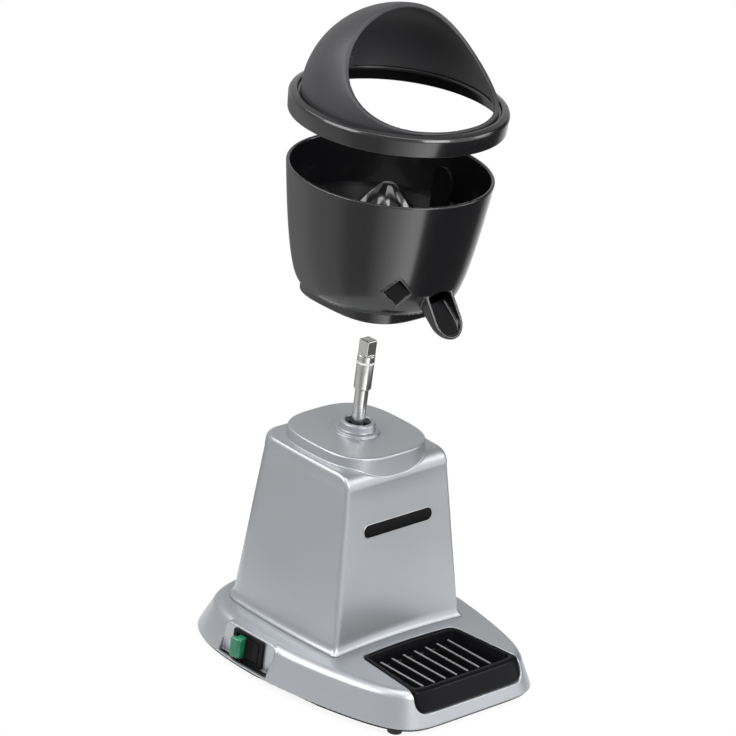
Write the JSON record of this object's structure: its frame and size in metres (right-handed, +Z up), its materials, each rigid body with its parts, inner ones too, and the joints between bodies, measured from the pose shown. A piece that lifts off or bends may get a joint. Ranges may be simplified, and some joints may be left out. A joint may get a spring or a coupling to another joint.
{
  "type": "electric citrus juicer",
  "caption": "Citrus juicer: motor in a tapered metal body on a plinth with drip tray, lift-off bowl with spout, strainer and ridged reamer, and an open splash hood, shown lifted apart",
  "frame": {"origin": "centre of the bounding box footprint, on the standing surface", "axes": "+Z up, the front with spout and tray faces -Y, the switch is on the -X side"},
  "size_m": [0.1894, 0.2194, 0.4731],
  "materials": {
    "silver_paint": "fine metallic grey paint, satin",
    "black_gloss": "moulded black plastic, gloss",
    "black_satin": "moulded black plastic, satin",
    "smoke_satin": "moulded dark grey plastic, satin",
    "rubber_black": "moulded rubber, matt",
    "bright_steel": "turned and polished stainless steel",
    "zinc_steel": "zinc plated steel",
    "lamination": "stacked steel laminations",
    "cast_alloy": "die cast alloy",
    "winding": "varnished copper wire",
    "green_lens": "tinted clear plastic",
    "white_ring": "moulded white plastic"
  },
  "bodies": {
    "base": {"body_shell": "silver_paint", "plinth": "silver_paint", "base_plate": "black_satin", "rubber_feet": "rubber_black", "base_screws": "zinc_steel", "body_screws": "zinc_steel", "spindle_seal": "rubber_black", "switch_bezel": "black_satin", "switch_case": "black_satin", "switch_terminals": "winding", "cord_gland": "rubber_black", "stator_core": "lamination", "stator_windings": "winding", "upper_end_bell": "cast_alloy", "lower_end_bell": "cast_alloy", "upper_bearing": "bright_steel", "lower_bearing": "bright_steel", "through_bolts": "zinc_steel", "motor_mounts": "rubber_black", "run_capacitor": "smoke_satin", "capacitor_clip": "zinc_steel", "terminal_block": "black_satin"},
    "spindle_set": {"spindle": "bright_steel", "drive_sleeve": "bright_steel", "sleeve_ring": "white_ring", "rotor_core": "lamination", "cooling_fan": "black_satin"},
    "rocker_set": {"rocker": "black_satin", "rocker_lens": "green_lens"},
    "tray_set": {"drip_tray": "black_gloss"},
    "bowl_set": {"bowl": "black_gloss"},
    "strainer_set": {"strainer": "black_satin"},
    "reamer_set": {"reamer": "black_gloss", "drive_insert": "bright_steel"},
    "hood_set": {"hood_ring": "black_satin", "splash_dome": "smoke_satin"}
  },
  "joints": [
    {"name": "spindle_spin", "type": "hinge", "parent": "base", "child": "spindle_set", "pos_m": [0, 0.034, 0.15], "axis": [0, 0, 1], "continuous": true},
    {"name": "bowl_lift", "type": "slide", "parent": "base", "child": "bowl_set", "axis": [0, 0, 1], "range_m": [-0.109, 0]},
    {"name": "strainer_lift", "type": "slide", "parent": "bowl_set", "child": "strainer_set", "axis": [0, 0, 1], "range_m": [0, 0.04]},
    {"name": "reamer_spin", "type": "hinge", "parent": "strainer_set", "child": "reamer_set", "pos_m": [0, 0.034, 0.3144], "axis": [0, 0, 1], "continuous": true},
    {"name": "hood_lift", "type": "slide", "parent": "bowl_set", "child": "hood_set", "axis": [0, 0, 1], "range_m": [-0.047, 0]},
    {"name": "rocker_tilt", "type": "hinge", "parent": "base", "child": "rocker_set", "pos_m": [-0.08, 0.028, 0.019], "axis": [0, 0, 1], "range_deg": [-16, 0]},
    {"name": "tray_lift", "type": "slide", "parent": "base", "child": "tray_set", "axis": [0, 0, 1], "range_m": [0, 0.04]}
  ],
  "couplings": [
    {"joint": "reamer_spin", "follows": "spindle_spin", "ratio": 1}
  ]
}
